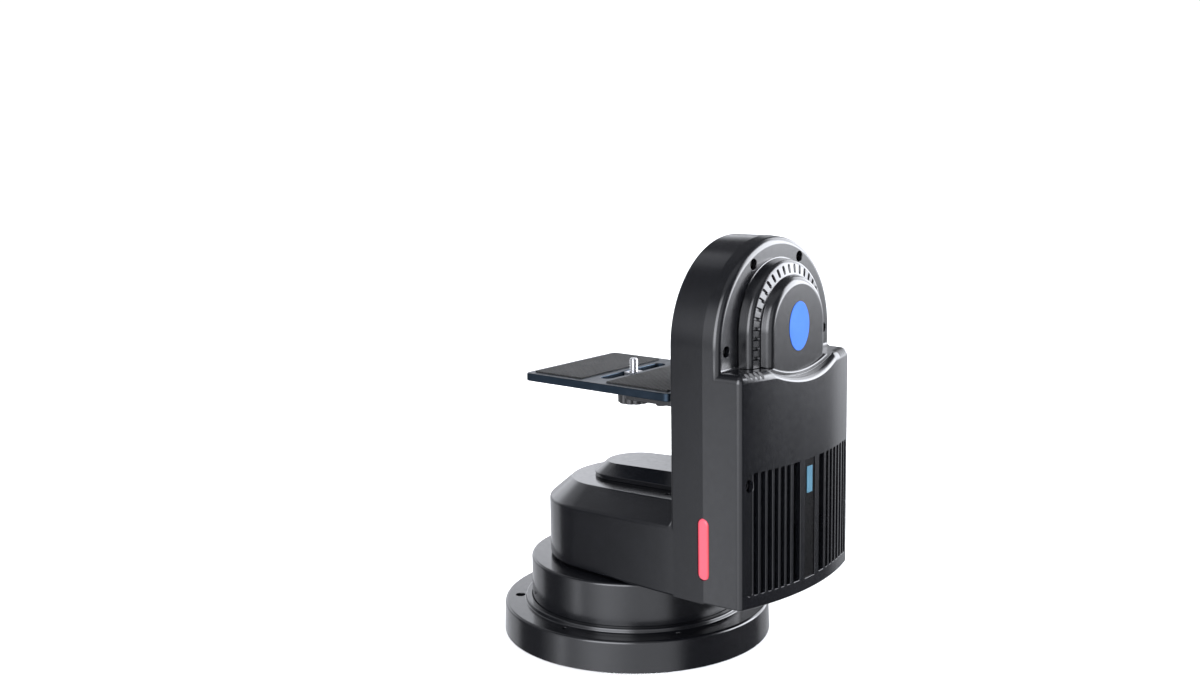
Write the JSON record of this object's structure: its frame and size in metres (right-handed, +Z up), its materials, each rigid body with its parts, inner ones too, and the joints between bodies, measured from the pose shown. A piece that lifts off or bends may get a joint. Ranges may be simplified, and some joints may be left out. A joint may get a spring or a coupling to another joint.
{
  "type": "robotic pan tilt head",
  "caption": "Motorised pan and tilt head: round bolt-down base, turning L-shaped casting with a round-topped arm, and a side-mounted camera platform that tilts.",
  "frame": {"origin": "on the pan axis, at the underside of the round base", "axes": "+Z up along the pan axis; -Y is the lens side of the camera; +X is the side of the arm"},
  "size_m": [0.2521, 0.1992, 0.3004],
  "materials": {
    "black_paint": "satin powder coat",
    "dark_plate": "matt black",
    "steel": "machined",
    "screws": "black oxide",
    "aluminium": "machined",
    "brass": "machined",
    "motor_black": "satin",
    "board": "solder mask",
    "black_plastic": "moulded",
    "rubber": "matt",
    "navy_anodised": "navy anodised",
    "blue_badge": "flat print",
    "light_blue_tag": "flat print",
    "lamp_red": "lit translucent lens"
  },
  "bodies": {
    "base": {"base_flange": "black_paint", "base_drum": "black_paint", "base_bottom_plate": "dark_plate", "pan_post": "steel", "pan_ring_gear": "brass", "pan_bearing_outer_race": "steel", "base_circuit_board": "board", "connector_housing": "black_paint", "power_inlet": "black_plastic", "network_socket": "aluminium", "switch_bezel": "black_plastic"},
    "power_switch": {"switch_rocker": "black_plastic"},
    "pan_head": {"pan_casting": "black_paint", "pan_top_cap": "black_paint", "body_screw_front": "screws", "body_screw_rear": "screws", "pan_spindle": "aluminium", "pan_bearing_inner_race": "steel", "pan_motor": "motor_black", "pan_motor_bracket": "aluminium", "arm_outer_cover": "black_paint", "plate_screw_1": "screws", "plate_screw_2": "screws", "plate_screw_3": "screws", "plate_screw_4": "screws", "cover_screw": "screws", "hub_dome": "black_paint", "hub_badge": "blue_badge", "label_tag": "light_blue_tag", "tally_lamp": "lamp_red", "drive_plate": "aluminium", "tilt_motor": "motor_black", "tilt_belt": "rubber", "main_circuit_board": "board", "inner_bearing_outer_race": "steel", "outer_bearing_outer_race": "steel"},
    "pan_motor_gear": {"pan_pinion": "brass"},
    "tilt_motor_gear": {"tilt_motor_pulley": "aluminium"},
    "tilt_cradle": {"tilt_shaft": "steel", "inner_bearing_inner_race": "steel", "outer_bearing_inner_race": "steel", "tilt_pulley": "aluminium", "tilt_flange": "steel", "l_bracket": "dark_plate", "bracket_screw_1": "screws", "bracket_screw_2": "screws", "bracket_screw_3": "screws", "bracket_screw_4": "screws", "camera_platform": "navy_anodised", "platform_pad_left": "rubber", "platform_pad_right": "rubber", "platform_screw_front": "screws", "platform_screw_rear": "screws"},
    "screw_slider": {"screw_carriage": "steel"},
    "mounting_screw": {"camera_screw": "steel", "screw_knob": "black_plastic"}
  },
  "joints": [
    {"name": "pan", "type": "hinge", "parent": "base", "child": "pan_head", "pos_m": [0, 0, 0.053], "axis": [0, 0, 1], "range_deg": [-172.5, 172.5]},
    {"name": "tilt", "type": "hinge", "parent": "pan_head", "child": "tilt_cradle", "pos_m": [0.09, 0, 0.24], "axis": [-1, 0, 0], "range_deg": [-60, 60]},
    {"name": "pan_motor_turn", "type": "hinge", "parent": "pan_head", "child": "pan_motor_gear", "pos_m": [0.04515, 0, 0.0755], "axis": [0, 0, 1], "range_deg": [-700, 700]},
    {"name": "tilt_motor_turn", "type": "hinge", "parent": "pan_head", "child": "tilt_motor_gear", "pos_m": [0.101, 0, 0.127], "axis": [-1, 0, 0], "range_deg": [-210, 210]},
    {"name": "power_switch_rock", "type": "hinge", "parent": "base", "child": "power_switch", "pos_m": [0.0223, 0.088, 0.0402], "axis": [1, 0, 0], "range_deg": [0, 10]},
    {"name": "camera_screw_slide", "type": "slide", "parent": "tilt_cradle", "child": "screw_slider", "axis": [0, 1, 0], "range_m": [-0.024, 0.024]},
    {"name": "camera_screw_turn", "type": "hinge", "parent": "screw_slider", "child": "mounting_screw", "pos_m": [0, 0, 0.188], "axis": [0, 0, 1], "continuous": true}
  ],
  "couplings": [
    {"joint": "pan_motor_turn", "follows": "pan", "ratio": 4},
    {"joint": "tilt_motor_turn", "follows": "tilt", "ratio": 3.4}
  ]
}
